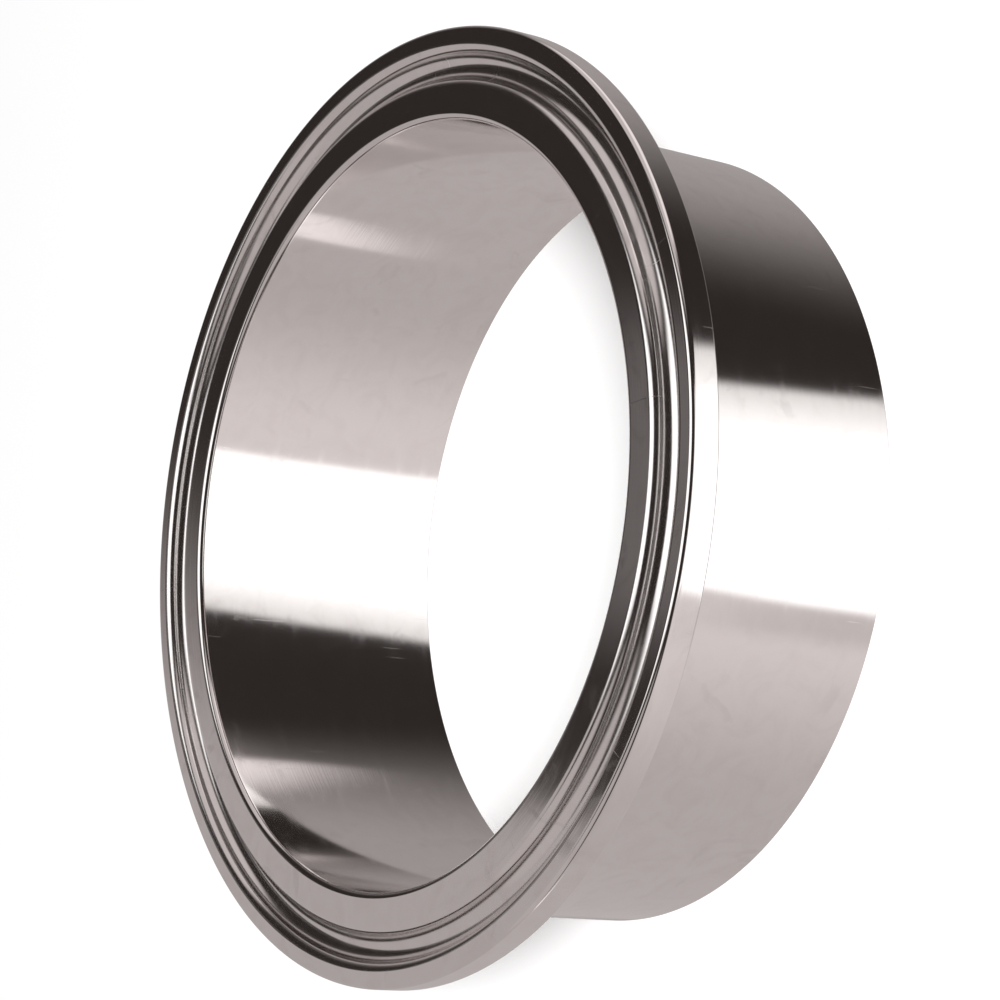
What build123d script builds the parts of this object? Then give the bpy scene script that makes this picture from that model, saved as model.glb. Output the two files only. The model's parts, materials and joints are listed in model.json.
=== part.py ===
"""Sanitary clamp ferrule, 3 inch size, for welding to the end of a tube.

One turned part. It stands on its weld end: the centre of the weld end is the
origin, Z runs along the bore and the clamp face looks up. Sizes are in
millimetres and angles in degrees.
"""
import os
from math import atan2, cos, radians, sin, sqrt, tan

from build123d import *

os.makedirs("parts", exist_ok=True)

# ---------------------------------------------------------------- driving sizes
tube_diameter = 76.2        # outside of the weld stub, the size of the tube
wall = 1.5                  # wall of the weld stub
length = 28.6               # weld end to clamp face
flange_reach = 7.4          # how far the clamp flange stands out past the stub
rim_height = 2.85           # edge of the flange, clamp face to start of the taper
taper_angle = 20.0          # back of the flange, measured from the clamp face

neck_radius = 2.4           # blend from the taper into the stub
rim_face_radius = 0.5       # rounded corner between the rim and the clamp face
rim_back_radius = 0.35      # rounded corner between the rim and the taper
bore_edge_radius = 0.8      # rounded corner between the clamp face and the bore

groove_inset = 3.75         # outside of the flange to the centre line of the gasket groove
groove_depth = 1.3          # below the clamp face
groove_radius = 1.75        # round bottom of the groove
groove_lip_radius = 0.5     # rounded lips of the groove

# ---------------------------------------------------------------- worked-out sizes
tube_radius = tube_diameter / 2
bore_radius = tube_radius - wall
flange_radius = tube_radius + flange_reach
groove_centre = flange_radius - groove_inset

# the taper runs from the back of the rim down to the outside of the stub
rim_back = length - rim_height
taper_foot = rim_back - flange_reach * tan(radians(taper_angle))

# the centre of the groove's round bottom, and of the lips that touch it
groove_height = length - groove_depth + groove_radius
lip_height = length - groove_lip_radius
lip_rise = groove_height - lip_height
lip_offset = sqrt((groove_radius + groove_lip_radius) ** 2 - lip_rise**2)
lip_angle = atan2(lip_offset, lip_rise)
touch_offset = groove_radius * sin(lip_angle)
touch_height = groove_height - groove_radius * cos(lip_angle)


def groove_lip(side):
    """Round one lip from the clamp face to the groove bottom; side is 1 outside, -1 inside."""
    lip_centre = groove_centre + side * lip_offset
    half = lip_angle / 2
    ThreePointArc(
        (lip_centre, length),
        (lip_centre - side * groove_lip_radius * sin(half), lip_height + groove_lip_radius * cos(half)),
        (groove_centre + side * touch_offset, touch_height),
    )


# ---------------------------------------------------------------- the ferrule
with BuildPart() as ferrule:
    # half of the section, radius along X and height along Y of the sketch
    with BuildSketch(Plane.XZ) as section:
        with BuildLine():
            # from the inner lip of the groove, down the bore, round the stub and the flange
            Polyline(
                (groove_centre - lip_offset, length),
                (bore_radius, length),
                (bore_radius, 0),
                (tube_radius, 0),
                (tube_radius, taper_foot),
                (flange_radius, rim_back),
                (flange_radius, length),
                (groove_centre + lip_offset, length),
            )
            groove_lip(1)
            ThreePointArc(
                (groove_centre + touch_offset, touch_height),
                (groove_centre, length - groove_depth),
                (groove_centre - touch_offset, touch_height),
            )
            groove_lip(-1)
        make_face()

        # the rounded corners of the section; the weld end stays square
        for corner, radius in (
            ((tube_radius, taper_foot), neck_radius),
            ((flange_radius, rim_back), rim_back_radius),
            ((flange_radius, length), rim_face_radius),
            ((bore_radius, length), bore_edge_radius),
        ):
            fillet(section.vertices().sort_by_distance(corner)[0], radius)
    revolve(axis=Axis.Z)

ferrule.part.label = "ferrule"
export_step(ferrule.part, "parts/ferrule.step")
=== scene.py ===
# %% [markdown]
# # Sanitary clamp ferrule
#
# A clamp ferrule is a short steel tube with a tapered flange at one end. It is welded to a pipe by its
# plain end, and a second ferrule, a gasket and a hinged clamp close on its flange. This lesson dresses the
# packed CAD model of a 3 inch ferrule: a fine mesh of the same form, a polished steel finish and a small
# photo studio. The packed model comes in first. Its box is kept, because the finished piece has to fill the
# same box.

# %% Load the packed model
import json
from math import atan2, cos, degrees, pi, radians, sin, sqrt, tan

import bmesh
import bpy
from mathutils import Matrix, Vector


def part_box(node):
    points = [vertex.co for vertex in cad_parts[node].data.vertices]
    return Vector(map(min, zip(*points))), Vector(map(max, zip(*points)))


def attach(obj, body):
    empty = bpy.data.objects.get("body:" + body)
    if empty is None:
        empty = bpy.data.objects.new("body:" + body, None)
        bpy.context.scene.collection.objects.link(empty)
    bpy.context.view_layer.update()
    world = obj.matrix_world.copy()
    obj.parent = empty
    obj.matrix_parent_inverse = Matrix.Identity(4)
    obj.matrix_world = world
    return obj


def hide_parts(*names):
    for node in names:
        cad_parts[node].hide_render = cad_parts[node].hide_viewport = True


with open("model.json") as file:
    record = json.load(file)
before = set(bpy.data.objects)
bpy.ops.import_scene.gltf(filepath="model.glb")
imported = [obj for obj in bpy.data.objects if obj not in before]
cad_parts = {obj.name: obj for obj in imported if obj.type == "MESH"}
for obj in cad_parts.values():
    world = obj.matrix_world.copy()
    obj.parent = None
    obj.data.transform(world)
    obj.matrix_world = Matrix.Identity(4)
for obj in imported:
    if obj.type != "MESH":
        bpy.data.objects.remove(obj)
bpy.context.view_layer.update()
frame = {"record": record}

# %% [markdown]
# ## Sizes
#
# Everything that the model can tell is read from it: the box gives the flange and the length, and the
# mounts give the bore and the stub. The sizes of the rim and the groove are too fine for a mount, so they
# stand here as named values in metres. A mirror finish shows sizes that nothing else does, so a few differ
# a little from the solid's, inside the same outline. The groove is deeper and has rounder lips, the rounds
# at the bore and at the back of the rim are tighter, and the edges of the weld end, square in the solid,
# get a tiny round that catches the light.

# %% Read the driving sizes
MM = 0.001
low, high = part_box("ferrule")
mounts = {mount["name"]: mount for mount in frame["record"]["mounts"]}

foot = low[2]
top = high[2]
flange_radius = (high[0] - low[0]) / 2
bore_radius = mounts["bore"]["dims"]["r_mm"] * MM
stub_radius = mounts["weld_stub"]["dims"]["r_mm"] * MM

rim_height = 2.85 * MM
taper = radians(20)
neck_round = 2.4 * MM
rim_face_round = 0.5 * MM
rim_back_round = 0.2 * MM
bore_edge_round = 0.6 * MM
weld_edge_round = 0.1 * MM

groove_inset = 3.75 * MM
groove_depth = 1.7 * MM
groove_round = 1.33 * MM
groove_lip_round = 0.89 * MM
print(f"flange {2 * flange_radius / MM:.1f} mm, length {(top - foot) / MM:.1f} mm")
print(f"bore {2 * bore_radius / MM:.1f} mm, stub {2 * stub_radius / MM:.1f} mm")

# %% [markdown]
# ## The section, drawn with a pen
#
# The real ferrule is turned on a lathe, so its whole form is one section swept round the bore. On polished
# steel every facet shows as a kink in the reflections, and the packed mesh is too coarse for that. The
# section is therefore drawn again with a pen that only knows two strokes. A straight stroke extrudes the
# last vertex, and a round stroke spins it about the centre of the round. Straight strokes leave a spare
# vertex close to each end, so that the shading of a flat stays flat right up to the round beside it.

# %% A pen for lathe sections
same_point = 0.0001 * MM


class Pen:
    """Draws a section in the XZ plane of a bmesh, X as radius and Z as height."""

    hold = 0.03 * MM
    shortest_held = 4 * hold
    step = radians(5)
    fewest_steps = 4

    def __init__(self, mesh, radius, height):
        self.mesh = mesh
        self.first = self.tip = mesh.verts.new((radius, 0, height))

    def line(self, radius, height):
        """Go straight to a point; a stroke that is long enough gets a spare vertex near each end."""
        start = self.tip.co.copy()
        end = Vector((radius, 0, height))
        reach = (end - start).length
        stops = [self.hold / reach, 1 - self.hold / reach, 1] if reach > self.shortest_held else [1]
        for stop in stops:
            made = bmesh.ops.extrude_vert_indiv(self.mesh, verts=[self.tip])
            self.tip = made["verts"][0]
            self.tip.co = start.lerp(end, stop)

    def round(self, centre_radius, centre_height, angle):
        """Turn about a centre; a positive angle turns from X towards Z."""
        made = bmesh.ops.spin(
            self.mesh,
            geom=[self.tip],
            cent=(centre_radius, 0, centre_height),
            axis=(0, -1, 0),
            dvec=(0, 0, 0),
            angle=angle,
            steps=max(self.fewest_steps, round(abs(angle) / self.step)),
        )
        self.tip = [item for item in made["geom_last"] if isinstance(item, bmesh.types.BMVert)][0]

    def close(self):
        """Go back to the first point and join up with it."""
        self.line(self.first.co.x, self.first.co.z)
        bmesh.ops.remove_doubles(self.mesh, verts=self.mesh.verts, dist=same_point)


print(f"pen: a point about every {degrees(Pen.step):.0f} degrees of a round")

# %% [markdown]
# Before the pen can move, it needs the centres of the rounds. A round between two straight lines touches
# both, so its centre follows from its radius and the angle of the taper. The groove is three rounds that
# touch: a lip, the bottom and the other lip. The depth and the radii give the heights of their centres, and
# how far the lips stand from the middle is the third side of a right triangle.

# %% Find the centres of the rounds
rim_back = top - rim_height
taper_foot = rim_back - (flange_radius - stub_radius) * tan(taper)

neck_centre = stub_radius + neck_round
neck_height = taper_foot + neck_round * tan(taper) - neck_round / cos(taper)

rim_centre = flange_radius - rim_back_round
rim_centre_height = rim_back - rim_back_round * tan(taper) + rim_back_round / cos(taper)

groove_centre = flange_radius - groove_inset
groove_height = top - groove_depth + groove_round
lip_height = top - groove_lip_round
lip_rise = groove_height - lip_height
lip_offset = sqrt((groove_round + groove_lip_round) ** 2 - lip_rise**2)
lip_angle = atan2(lip_offset, lip_rise)
print(f"groove {2 * lip_offset / MM:.2f} mm wide, foot of the taper {taper_foot / MM:.2f} mm up")

# %% [markdown]
# The pen starts on the clamp face beside the bore and goes round the section: down the bore, out along the
# weld end, up the stub, through the neck on to the taper, round the rim, and back over the clamp face,
# where it dips into the gasket groove.

# %% Draw the section
mesh = bmesh.new()
pen = Pen(mesh, groove_centre - lip_offset, top)

# the bore and the weld end
pen.line(bore_radius + bore_edge_round, top)
pen.round(bore_radius + bore_edge_round, top - bore_edge_round, pi / 2)
pen.line(bore_radius, foot + weld_edge_round)
pen.round(bore_radius + weld_edge_round, foot + weld_edge_round, pi / 2)
pen.line(stub_radius - weld_edge_round, foot)
pen.round(stub_radius - weld_edge_round, foot + weld_edge_round, pi / 2)

# the stub, the neck, the taper and the rim
pen.line(stub_radius, neck_height)
pen.round(neck_centre, neck_height, taper - pi / 2)
pen.line(rim_centre + rim_back_round * sin(taper), rim_centre_height - rim_back_round * cos(taper))
pen.round(rim_centre, rim_centre_height, pi / 2 - taper)
pen.line(flange_radius, top - rim_face_round)
pen.round(flange_radius - rim_face_round, top - rim_face_round, pi / 2)

# the clamp face and the groove
pen.line(groove_centre + lip_offset, top)
pen.round(groove_centre + lip_offset, lip_height, lip_angle)
pen.round(groove_centre, groove_height, -2 * lip_angle)
pen.round(groove_centre - lip_offset, lip_height, lip_angle)
pen.close()
print("section of", len(mesh.verts), "points")

# %% [markdown]
# A full spin round Z turns the section into the ferrule. The last ring is merged with the first, and the
# normals are worked out afresh, because a spin can leave a shape inside out. The piece rides on the root
# body and stands for the packed solid, which stays in the frame for collision.

# %% Spin the section into the ferrule
def new_object(name, mesh):
    """Make an object from a bmesh, and free the bmesh."""
    made = bpy.data.objects.new(name, bpy.data.meshes.new(name))
    mesh.to_mesh(made.data)
    mesh.free()
    bpy.context.collection.objects.link(made)
    return made


bmesh.ops.spin(
    mesh,
    geom=mesh.verts[:] + mesh.edges[:],
    cent=(0, 0, 0),
    axis=(0, 0, 1),
    dvec=(0, 0, 0),
    angle=2 * pi,
    steps=384,
    use_merge=True,
)
bmesh.ops.remove_doubles(mesh, verts=mesh.verts, dist=same_point)
bmesh.ops.recalc_face_normals(mesh, faces=mesh.faces)
for face in mesh.faces:
    face.smooth = True

volume = mesh.calc_volume()
ferrule = new_object("polished_ferrule", mesh)
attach(ferrule, "root")
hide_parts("ferrule")
print(f"ferrule of {len(ferrule.data.polygons)} faces, {volume / MM**3:.0f} mm3")

# %% [markdown]
# ## Shader maths as plain expressions
#
# A finish is mostly sums on sockets. Wrapping a socket in a small class lets those sums be written as
# ordinary Python, and each operator adds one Math node. The method used most is `smooth`, a soft step that
# turns a distance, an angle or a noise into a mask from 0 to 1.

# %% A socket that can be used in sums
class Socket:
    """One output socket, and the node tree that sums on it are added to."""

    def __init__(self, tree, socket):
        self.tree = tree
        self.socket = socket

    def beside(self, name):
        """Another output of the same node."""
        return Socket(self.tree, self.socket.node.outputs[name])

    def math(self, operation, *others):
        """Add a Math node with this socket as its first input."""
        made = self.tree.nodes.new("ShaderNodeMath")
        made.operation = operation
        for slot, value in zip(made.inputs, (self, *others)):
            plug(self.tree, value, slot)
        return Socket(self.tree, made.outputs[0])

    def __add__(self, other):
        return self.math("ADD", other)

    def __sub__(self, other):
        return self.math("SUBTRACT", other)

    def __mul__(self, other):
        return self.math("MULTIPLY", other)

    def __truediv__(self, other):
        return self.math("DIVIDE", other)

    def __rsub__(self, other):
        return (self * -1) + other

    __radd__ = __add__
    __rmul__ = __mul__

    def smooth(self, start, end):
        """0 before start, 1 after end, and a smooth step between; start may be the larger."""
        share = ((self - start) / (end - start)).math("MAXIMUM", 0).math("MINIMUM", 1)
        return share * share * (3 - share * 2)


def plug(tree, value, slot):
    """Link a socket into a slot, or set the slot to a plain value."""
    if isinstance(value, Socket):
        tree.links.new(value.socket, slot)
    else:
        slot.default_value = value


print("a socket can do:", [name for name in vars(Socket) if not name.startswith("__")])

# %% [markdown]
# Every other node comes from one method, `node`, which takes the kind of node, its settings, and the values
# or links of its inputs. Colours are blended with a Mix node, because a Math node would turn them grey.

# %% A finish that nodes are added to
class Finish:
    """The node tree of a material or a world."""

    def __init__(self, owner):
        owner.use_nodes = True
        self.tree = owner.node_tree
        self.tree.nodes.clear()

    def node(self, kind, settings=None, output=0, **inputs):
        """Add a node; its inputs go by name, or as i0, i1 and so on where two share a name."""
        made = self.tree.nodes.new("ShaderNode" + kind)
        for name, value in (settings or {}).items():
            setattr(made, name, value)
        for name, value in inputs.items():
            slot = made.inputs[int(name[1:])] if name[1:].isdigit() else made.inputs[name.replace("_", " ")]
            plug(self.tree, value, slot)
        return Socket(self.tree, made.outputs[output]) if made.outputs else None

    def mix(self, share, first, second):
        """Mix two colours; share 0 gives the first and 1 the second."""
        return self.node("Mix", {"data_type": "RGBA"}, output=2, i0=share, i6=first, i7=second)


print("a finish can do:", [name for name in vars(Finish) if not name.startswith("__")])

# %% [markdown]
# ## Polished stainless steel
#
# The real part is mirror-polished. Its own colour is a pale warm grey, and nearly all that the eye sees in
# it is the room. What keeps it from looking like glass is very fine: lines that the lathe and the polishing
# wheel left round the bore, a slow waviness, and a few scratches, swirls and smears. Turned marks run round
# the axis. So each point is first given its radius and its angle round the axis, to go with its height.

# %% Where a point lies on a turned part
steel = bpy.data.materials.new("polished_stainless")
finish = Finish(steel)
place = finish.node("TexCoord", output="Object")
x = finish.node("SeparateXYZ", output="X", Vector=place)
y = x.beside("Y")
z = x.beside("Z")
radius = (x * x + y * y).math("SQRT")
turn = y.math("ARCTAN2", x)
print("radius and turn:", len(finish.tree.nodes), "nodes")

# %% [markdown]
# Noise that changes slowly with the angle makes long lines round the part. These are the marks of the
# lathe, and the broader bands that the wheel wore. Noise that changes slowly along the bore makes the hair
# scratches, which cross them. The angle goes in as its sine and cosine, so that the pattern has no seam
# where the angle starts again. The waviness, the swirls and the smears have no direction, and are plain
# noise.

# %% The marks of turning, polishing and handling
def streaks(across, along, detail):
    """Noise with so many marks per metre across the turning, and so many per radian along it."""
    around = finish.node(
        "CombineXYZ",
        X=radius * across + turn.math("COSINE") * along,
        Y=z * across + turn.math("SINE") * along,
        Z=turn.math("SINE") * along,
    )
    return finish.node("TexNoise", Vector=around, Scale=1.0, Detail=detail)


turning_lines = streaks(across=5200, along=2.0, detail=2.0)
wear = streaks(across=700, along=5.0, detail=3.0)
scratches = streaks(across=160, along=150.0, detail=1.0).smooth(0.75, 0.79)
waviness = finish.node("TexNoise", Vector=place, Scale=55.0, Detail=1.0)
swirls = finish.node("TexNoise", Vector=place, Scale=260.0, Detail=4.0, Distortion=1.4)
smears = finish.node("TexNoise", Vector=place, Scale=95.0, Detail=5.0, Distortion=2.2).smooth(0.60, 0.72)
print("with the marks:", len(finish.tree.nodes), "nodes")

# %% [markdown]
# Each kind of mark adds a little to the roughness of the clean steel. One more place is duller: a polishing
# wheel can't reach well into the groove, so a band round it, which ends softly on both sides and below the
# clamp face, is rougher too.

# %% Roughness
band_half_width = 2.3 * MM
band_depth = 3 * MM
band_edge = 0.6 * MM
from_groove = (radius - groove_centre).math("ABSOLUTE")
near_groove = from_groove.smooth(band_half_width, band_half_width - band_edge)
near_face = z.smooth(top - band_depth, top - band_depth + band_edge)

clean_roughness = 0.085
added_roughness = (
    (wear.smooth(0.5, 0.75), 0.035),
    (swirls.smooth(0.55, 0.75), 0.03),
    (smears, 0.05),
    (scratches, 0.12),
    (near_groove * near_face, 0.07),
)
roughness = sum((mark * amount for mark, amount in added_roughness), clean_roughness)
print("roughness of clean steel", clean_roughness, "and of", len(added_roughness), "kinds of mark")

# %% [markdown]
# The colour hardly changes: the swirls and smears are a shade darker. Two bumps follow each other, the
# turning lines and then the slow waviness. Both are so shallow that they only stretch and blur what the
# steel mirrors.

# %% Colour, bump and shader
light_steel = (0.805, 0.78, 0.768, 1)
swirled_steel = (0.77, 0.74, 0.728, 1)
smeared_steel = (0.70, 0.67, 0.66, 1)
tint = finish.mix(swirls.smooth(0.35, 0.8), light_steel, swirled_steel)
tint = finish.mix(smears * 0.5, tint, smeared_steel)

fine = finish.node("Bump", Strength=0.06, Distance=0.02 * MM, Height=turning_lines)
slow = finish.node("Bump", Strength=0.10, Distance=0.4 * MM, Height=waviness, Normal=fine)
shader = finish.node("BsdfPrincipled", Base_Color=tint, Metallic=1.0, Roughness=roughness, Normal=slow)
finish.node("OutputMaterial", Surface=shader)
ferrule.data.materials.append(steel)
print("steel:", len(finish.tree.nodes), "nodes")

# %% [markdown]
# ## The camera
#
# The camera looks down on the clamp face and through the bore. It is rolled by nearly a quarter turn, so
# the ferrule appears to lie on its side with its stub to the right.

# %% Place the camera
camera_distance_back = 0.2366
camera_height = 0.17708
camera_dip = radians(34.204)
camera_pan = radians(-0.402)
camera_roll = radians(-81.735)

pan = Matrix.Rotation(camera_pan, 4, "Z")
dip = Matrix.Rotation(pi / 2 - camera_dip, 4, "X")
roll = Matrix.Rotation(camera_roll, 4, "Z")
camera_turn = pan @ dip @ roll

camera = bpy.data.objects.new("camera", bpy.data.cameras.new("camera"))
camera.data.sensor_width = 36
camera.data.lens = 106.39
camera.data.clip_start = 0.01
camera.matrix_world = Matrix.Translation((0, -camera_distance_back, camera_height)) @ camera_turn
bpy.context.collection.objects.link(camera)
bpy.context.scene.camera = camera
print("camera at", [round(v, 4) for v in camera.location])

# %% [markdown]
# ## The studio
#
# A mirror finish looks like whatever stands round it, so a polished part is lit with cards and not with
# lamps. Here the cards are sewn into one tent, a globe that only mirror rays see. Its panels are placed by
# bearing and rise, both in degrees, in a room that is tipped like the camera. Bearing 0 is straight ahead,
# 90 is to the right, and 180 is behind the camera. Rise 90 is straight up. Both are worked out once from
# the direction of each point of the globe, and a panel is then four soft steps multiplied together.

# %% A finish with bearings
class Room(Finish):
    """A finish for the tent that is painted by direction."""

    def __init__(self, owner, tip):
        super().__init__(owner)
        self.tip = tip.to_3x3()
        place = self.node("TexCoord", output="Object")
        self.toward = self.node("VectorMath", {"operation": "NORMALIZE"}, i0=place)
        self.bearing = self.along((1, 0, 0)).math("ARCTAN2", self.along((0, 0, -1))) * degrees(1)
        self.rise = self.along((0, 1, 0)).math("ARCSINE") * degrees(1)

    def along(self, axis):
        """How far the direction goes along one axis of the tipped room, from -1 to 1."""
        settings = {"operation": "DOT_PRODUCT"}
        tipped_axis = tuple(self.tip @ Vector(axis))
        return self.node("VectorMath", settings, output="Value", i0=self.toward, i1=tipped_axis)

    def panel(self, west, east, bottom, top, soft):
        """A mask that is 1 between these bearings and rises, and fades over soft degrees on each side."""
        mask = self.bearing.smooth(west - soft, west + soft) * self.bearing.smooth(east + soft, east - soft)
        mask = mask * self.rise.smooth(bottom - soft, bottom + soft)
        return mask * self.rise.smooth(top + soft, top - soft)


tent_panels = bpy.data.materials.new("tent_panels")
room = Room(tent_panels, camera_turn)
bearing = room.bearing
rise = room.rise
print("bearing and rise:", len(room.tree.nodes), "nodes")

# %% [markdown]
# A dark room gives polished steel its black bands, and black beside white is what makes it look polished.
# The wall straight ahead is a middle grey, with one even strip low down, and the ceiling is light. On the
# left the ceiling comes lower and is greyer.

# %% Dark walls and a light ceiling
def grey(level):
    """The warm grey of the room at a level of brightness."""
    return (level * 1.06, level * 0.975, level * 0.965, 1)


dark_wall = (0.031, 0.025, 0.023, 1)
ahead = bearing.smooth(80, 12) * bearing.smooth(-60, 0) * 0.95
colour = room.mix(ahead, dark_wall, grey(0.38))
low_strip = room.panel(west=-35, east=110, bottom=-20, top=18, soft=8)
colour = room.mix(low_strip, colour, grey(0.36))

ceiling_start = 52 - bearing.smooth(-60, -90) * 14
ceiling_fade = 12
ceiling = ((rise - ceiling_start) / ceiling_fade).smooth(0, 1)
ceiling_colour = room.mix(bearing.smooth(-50, 0), grey(0.60), grey(0.95))
colour = room.mix(ceiling, colour, ceiling_colour)
ceiling_patch = room.panel(west=34, east=56, bottom=52, top=66, soft=2)
colour = room.mix(ceiling_patch, colour, grey(0.95))
print("with walls and ceiling:", len(room.tree.nodes), "nodes")

# %% [markdown]
# Where the steel faces down in this tipped room, it mirrors a table. The table is lighter on the right,
# below the softbox, with one bright spot and one darker strip, and it fades out behind the camera.

# %% A grey table
lit_side = bearing.smooth(30, 95) * rise.smooth(-62, -22)
table_colour = room.mix(lit_side, grey(0.49), grey(0.745))
bright_spot = room.panel(west=37, east=60, bottom=-85, top=-65.8, soft=1.2)
table_colour = room.mix(bright_spot, table_colour, grey(1.0))

table_edge = bearing.smooth(60, 95) * 6 - 15
table_edge_fade = 6
table = ((table_edge - rise) / table_edge_fade).smooth(0, 1)
table = table * bearing.smooth(-178, -150) * bearing.smooth(174, 152)
colour = room.mix(table, colour, table_colour)
dark_strip = room.panel(west=70, east=108, bottom=-25, top=-15, soft=2.5)
colour = room.mix(dark_strip, colour, grey(0.60))
print("with the table:", len(room.tree.nodes), "nodes")

# %% [markdown]
# On the left the table reaches higher, to just above eye level. Its edge is sharp at the far left and turns
# into haze towards the middle. A dim strip of light stands a little above the sharp stretch.

# %% The left end of the table
haze = bearing.smooth(-69, -61)
left_edge = 1.2 + haze * 3.4
left_edge_fade = 1.0 + haze * 8
left_end = ((left_edge - rise) / left_edge_fade).smooth(-0.5, 0.5)
left_end = left_end * bearing.smooth(-104, -96) * bearing.smooth(4, -4)
colour = room.mix(left_end, colour, grey(0.45))
dim_strip = room.panel(west=-104, east=-71, bottom=5.5, top=12.5, soft=1.2)
colour = room.mix(dim_strip, colour, grey(0.16))
print("with its left end:", len(room.tree.nodes), "nodes")

# %% [markdown]
# Two softboxes give the broad white bands on the stub and in the bore. They are brighter than white,
# because the steel swallows part of the light, and their image in it still has to be white. The right one
# is long, fades away behind the camera and is dimmer near its top. The left one is smaller and softer.

# %% Two softboxes
right_white = (1.6, 1.58, 1.58, 1)
right_dim = (0.95, 0.92, 0.91, 1)
left_white = (1.5, 1.48, 1.48, 1)

right_colour = room.mix(rise.smooth(15, 29), right_white, right_dim)
right_bottom = bearing.smooth(106, 115) * 3 - 17.5
right_box = room.panel(west=88, east=175, bottom=right_bottom, top=28, soft=1.2) * bearing.smooth(168, 142)
colour = room.mix(right_box, colour, right_colour)
left_box = room.panel(west=-144, east=-97, bottom=-4, top=32, soft=5)
colour = room.mix(left_box, colour, left_white)

room.node("OutputMaterial", Surface=room.node("Emission", Color=colour, Strength=1.0))
print("tent:", len(room.tree.nodes), "nodes")

# %% [markdown]
# The globe is hidden from every ray but the mirror ones. It lights nothing, casts no shadow and isn't seen
# by the camera, so the lamp that hangs outside it still reaches the floor.

# %% Put up the tent
mesh = bmesh.new()
bmesh.ops.create_uvsphere(mesh, u_segments=48, v_segments=24, radius=1.5)
tent = new_object("tent", mesh)
tent.data.materials.append(tent_panels)
tent_panels.cycles.emission_sampling = "NONE"
for ray in ("camera", "diffuse", "transmission", "volume_scatter", "shadow"):
    setattr(tent, "visible_" + ray, False)
print("tent of", len(tent.data.polygons), "faces")

# %% [markdown]
# The floor is a plain pale sheet that the ferrule stands on, and it keeps the ferrule's soft shadow. The
# steel doesn't mirror this floor. It is kept out of the mirror rays, because the tipped room has a table of
# its own, which is greyer and lies another way, and the steel can only mirror one of them.

# %% The floor
floor_size = 2.6
floor_white = (0.98, 0.98, 0.98, 1)
mesh = bmesh.new()
bmesh.ops.create_grid(mesh, x_segments=1, y_segments=1, size=floor_size / 2)
floor = new_object("floor", mesh)
paper = bpy.data.materials.new("pale_sheet")
sheet = Finish(paper)
sheet.node("OutputMaterial", Surface=sheet.node("BsdfDiffuse", Color=floor_white))
floor.data.materials.append(paper)
floor.visible_glossy = False
print("floor:", floor_size, "m wide")

# %% [markdown]
# One broad lamp and an even white world light the floor, at a level where its colour renders about as it is
# written. The lamp hangs high behind the camera, so the shadow falls away behind the ferrule. The steel
# doesn't mirror it, because the softboxes of the tent stand in for it.

# %% The lamp and the world
lamp = bpy.data.objects.new("overhead_softbox", bpy.data.lights.new("overhead_softbox", "AREA"))
lamp.data.shape = "DISK"
lamp.data.size = 0.7
lamp.data.energy = 92.0
lamp.location = (0.1, -1.9, 1.6)
lamp.rotation_euler = lamp.location.to_track_quat("Z", "Y").to_euler()
lamp.visible_glossy = False
bpy.context.collection.objects.link(lamp)

world = bpy.data.worlds.new("studio")
bpy.context.scene.world = world
air = Finish(world)
air.node("OutputWorld", Surface=air.node("Background", Color=(1, 1, 1, 1), Strength=0.18))
bpy.context.scene.view_settings.view_transform = "Standard"
print("lamp of", lamp.data.energy, "W at", [round(v, 2) for v in lamp.location])
